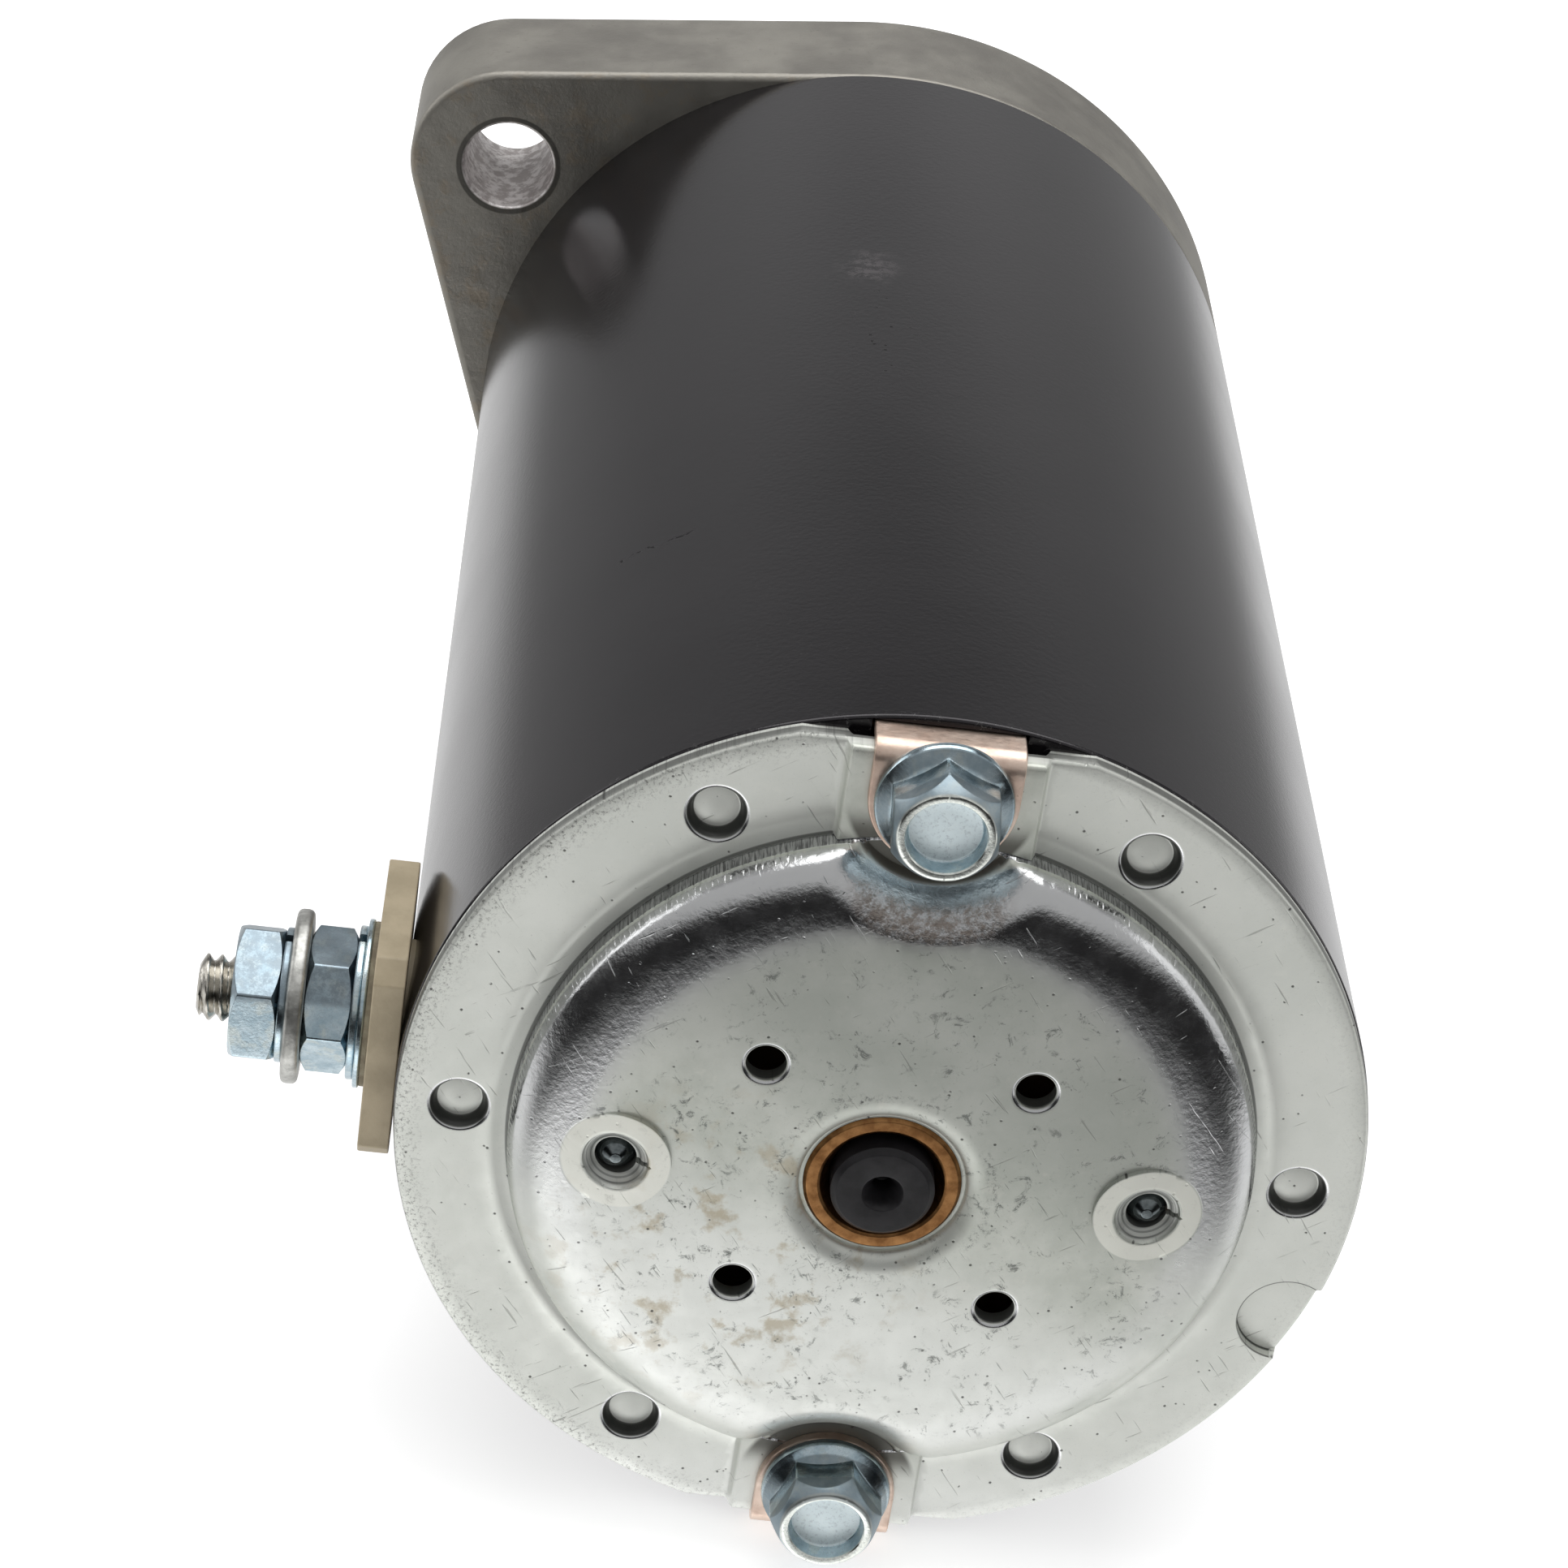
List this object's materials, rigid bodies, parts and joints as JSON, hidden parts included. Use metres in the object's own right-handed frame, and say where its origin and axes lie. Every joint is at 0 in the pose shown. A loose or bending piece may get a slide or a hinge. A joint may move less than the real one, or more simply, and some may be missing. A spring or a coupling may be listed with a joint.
{
  "type": "starter motor",
  "caption": "Permanent-magnet starter motor: black cylindrical frame, plated end cap with side terminal stud, cast flange with bolt ears, sliding pinion drive.",
  "frame": {"origin": "centre of the mounting flange's engine-side face, on the armature axis", "axes": "+Y along the armature axis towards the pinion end, +Z towards one through bolt, -X along the terminal stud towards its tip"},
  "size_m": [0.1193, 0.2538, 0.0894],
  "materials": {
    "black_paint": "satin black paint over drawn steel tube",
    "cast_alloy": "as-cast, faintly olive, lightly soiled",
    "zinc_sheet": "zinc-plated pressing with a pale green-grey passivate",
    "zinc_fastener": "bright bluish zinc",
    "copper": "bare rolled copper",
    "copper_wire": "enamelled copper",
    "bronze": "oil-soaked sintered bronze",
    "ferrite": "matt sintered ferrite",
    "spring_steel": "oiled spring steel",
    "phenolic": "brown-black moulded phenolic",
    "tan_insulator": "tan glass-filled insulating moulding",
    "fibre": "vulcanised fibre",
    "brass_sheet": "pressed brass",
    "carbon": "copper-graphite",
    "black_oxide": "black-oxide ground steel",
    "lamination": "stacked silicon-steel laminations",
    "gear_steel": "hardened, oiled steel",
    "rubber": "oil-proof rubber",
    "plated_spring": "plated spring wire"
  },
  "bodies": {
    "motor_body": {"commutator_end_cap": "zinc_sheet", "field_frame": "black_paint", "drive_end_frame": "cast_alloy", "rear_bushing": "bronze", "front_bushing": "bronze", "through_bolts": "zinc_fastener", "ground_tabs": "copper", "magnets": "ferrite", "magnet_clips": "spring_steel", "brush_card": "phenolic", "brush_card_screws": "black_oxide", "brush_boxes": "brass_sheet", "brush_springs": "spring_steel", "brush_leads": "copper_wire", "terminal_insulator": "tan_insulator", "terminal_sleeve": "phenolic", "terminal_inner_insulator": "phenolic", "terminal_strap": "copper", "terminal_stud": "zinc_fastener", "terminal_fibre_washer": "fibre", "terminal_flat_washer": "zinc_fastener", "terminal_lock_washer": "zinc_fastener", "terminal_nut_inner": "zinc_fastener", "terminal_outer_washer": "zinc_fastener", "terminal_outer_lock_washer": "zinc_fastener", "terminal_nut_outer": "zinc_fastener"},
    "armature": {"armature_shaft": "black_oxide", "armature_core": "lamination", "core_insulators": "fibre", "armature_windings": "copper_wire", "commutator_hub": "phenolic", "commutator_bars": "copper", "rear_thrust_washer": "phenolic", "front_thrust_washer": "phenolic", "shaft_snap_ring": "spring_steel", "spring_stop": "zinc_fastener", "shaft_end_nut": "zinc_fastener", "anti_drift_spring": "plated_spring"},
    "drive_follower": {"spring_follower": "zinc_fastener"},
    "drive_pinion": {"drive_nut": "gear_steel", "drive_cushion": "rubber", "pinion": "gear_steel"},
    "brush_1": {"brush_1": "carbon"},
    "brush_2": {"brush_2": "carbon"},
    "brush_3": {"brush_3": "carbon"},
    "brush_4": {"brush_4": "carbon"}
  },
  "joints": [
    {"name": "armature_spin", "type": "hinge", "parent": "motor_body", "child": "armature", "pos_m": [0, 0, 0], "axis": [0, 1, 0], "continuous": true},
    {"name": "drive_slide", "type": "slide", "parent": "armature", "child": "drive_follower", "axis": [0, 1, 0], "range_m": [0, 0.016], "stiffness_N_per_m": 300, "springref_m": -0.01, "deforming": ["anti_drift_spring"]},
    {"name": "pinion_twist", "type": "hinge", "parent": "drive_follower", "child": "drive_pinion", "pos_m": [0, 0, 0], "axis": [0, 1, 0], "range_deg": [0, 128.5]},
    {"name": "brush_1_slide", "type": "slide", "parent": "motor_body", "child": "brush_1", "axis": [0.7071, 0, 0.7071], "range_m": [0, 0.003], "stiffness_N_per_m": 800, "springref_m": -0.005, "deforming": ["brush_springs"]},
    {"name": "brush_2_slide", "type": "slide", "parent": "motor_body", "child": "brush_2", "axis": [-0.7071, 0, 0.7071], "range_m": [0, 0.003], "stiffness_N_per_m": 800, "springref_m": -0.005, "deforming": ["brush_springs"]},
    {"name": "brush_3_slide", "type": "slide", "parent": "motor_body", "child": "brush_3", "axis": [-0.7071, 0, -0.7071], "range_m": [0, 0.003], "stiffness_N_per_m": 800, "springref_m": -0.005, "deforming": ["brush_springs"]},
    {"name": "brush_4_slide", "type": "slide", "parent": "motor_body", "child": "brush_4", "axis": [0.7071, 0, -0.7071], "range_m": [0, 0.003], "stiffness_N_per_m": 800, "springref_m": -0.005, "deforming": ["brush_springs"]}
  ],
  "couplings": [
    {"joint": "pinion_twist", "follows": "drive_slide", "rad_per_m": 139.63}
  ]
}
